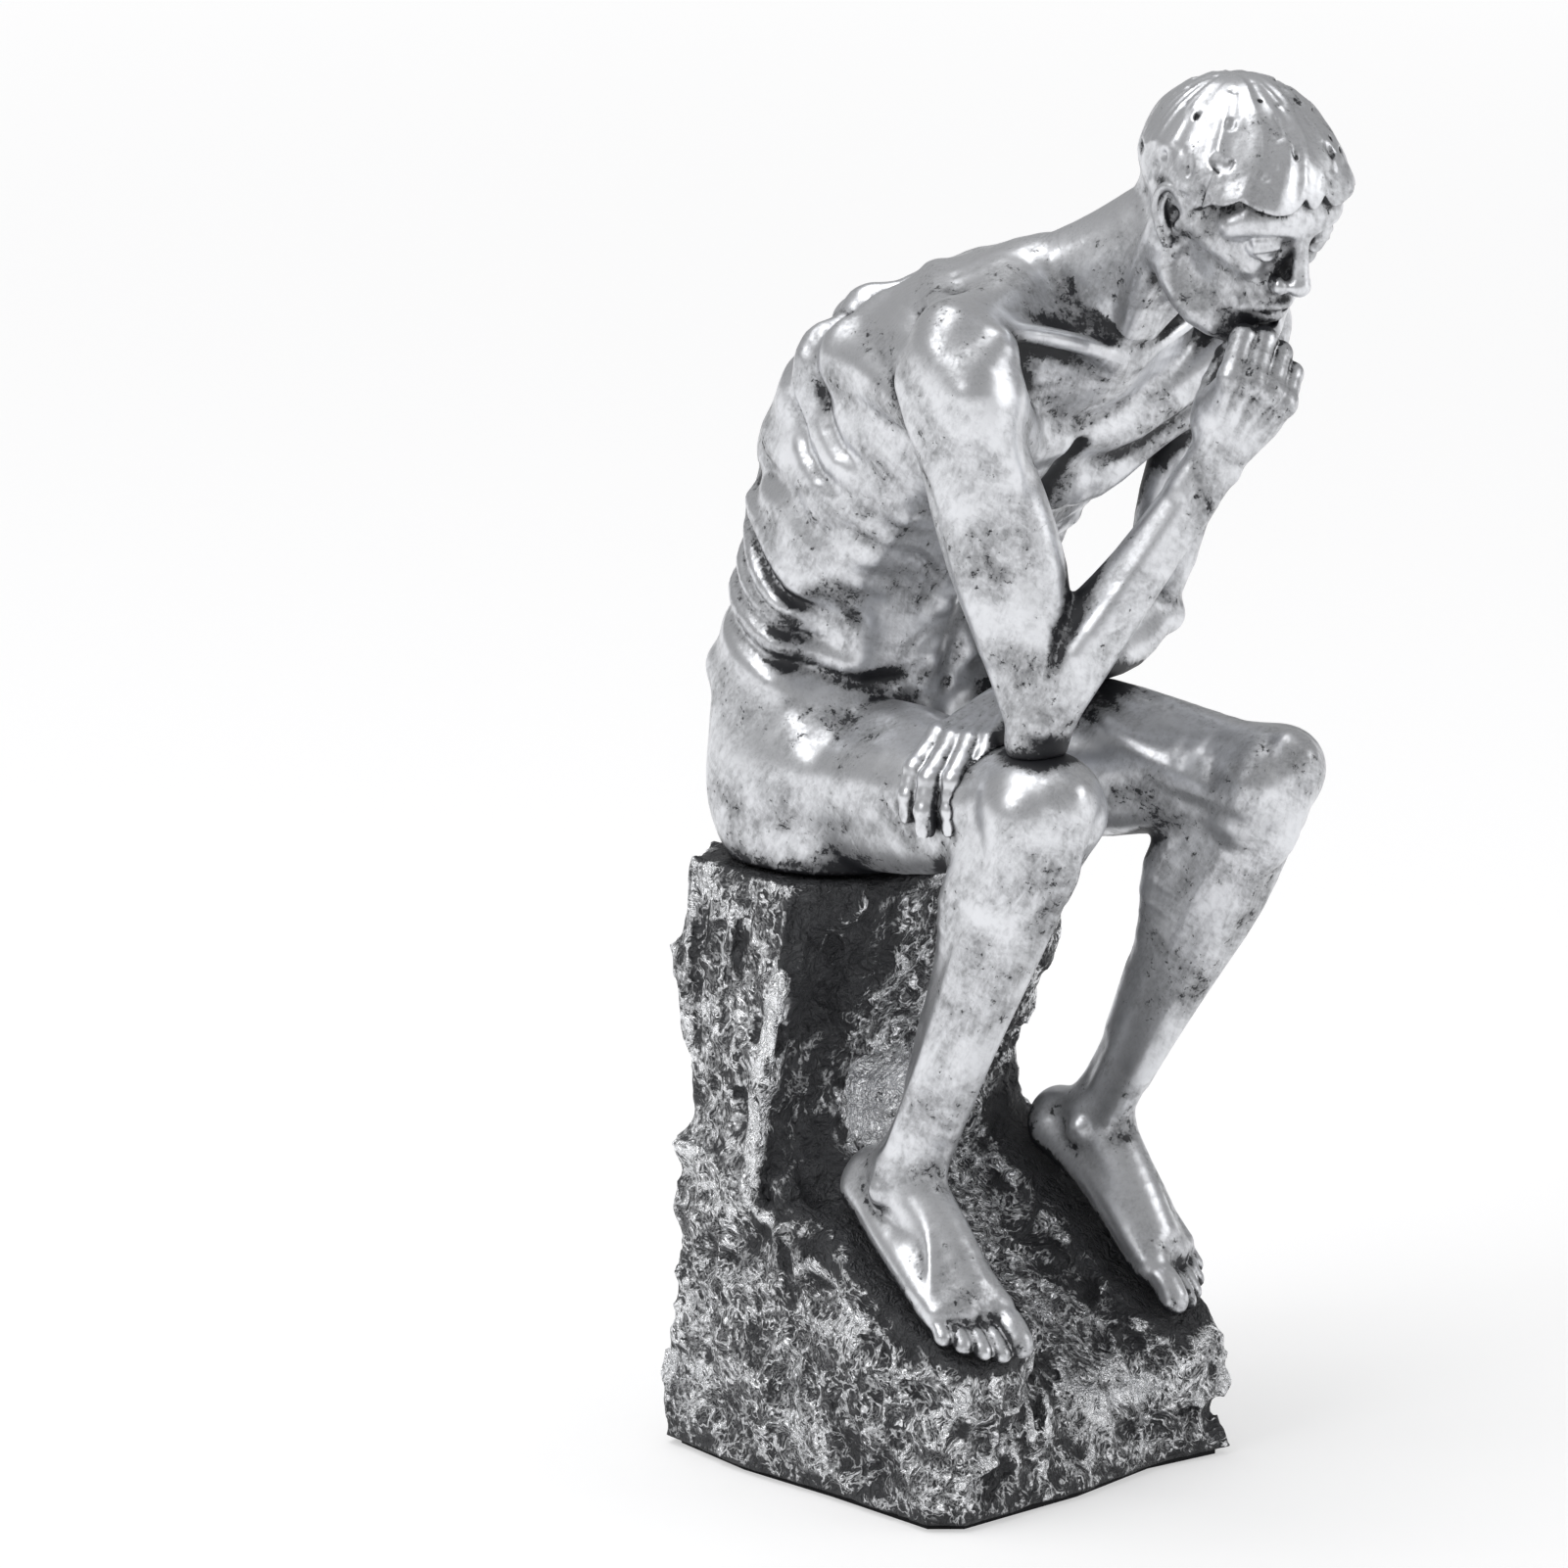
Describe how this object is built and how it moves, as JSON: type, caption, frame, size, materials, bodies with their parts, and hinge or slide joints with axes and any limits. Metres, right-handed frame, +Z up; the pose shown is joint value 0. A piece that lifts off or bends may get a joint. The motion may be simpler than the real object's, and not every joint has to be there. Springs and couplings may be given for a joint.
{
  "type": "thinker statue",
  "caption": "Seated nude figure deep in thought, chin on a loose fist, on a rough rock base; antique silver resin.",
  "frame": {"origin": "middle of the underside of the felt pad, where the statue stands on a table", "axes": "+X the way the figure faces, +Y to the figure's left, +Z up"},
  "size_m": [0.1247, 0.0964, 0.262],
  "materials": {
    "antique_silver": "cast resin with a satin antique silver coat and dark rub in the hollows",
    "antique_rock": "cast resin, near-black antique with silver rubbed on the ridges",
    "cover_board": "plain fibre board",
    "felt": "dark felt",
    "steel_pin": "plain wire"
  },
  "bodies": {
    "root": {"rock_shell": "antique_rock", "base_cover": "cover_board", "felt_pad": "felt", "torso": "antique_silver", "head": "antique_silver", "right_arm": "antique_silver", "left_arm": "antique_silver", "right_leg": "antique_silver", "left_leg": "antique_silver", "neck_pin": "steel_pin", "right_arm_pin": "steel_pin", "left_arm_pin": "steel_pin", "right_thigh_pin": "steel_pin", "left_thigh_pin": "steel_pin", "seat_pins": "steel_pin", "foot_pins": "steel_pin"}
  },
  "joints": []
}
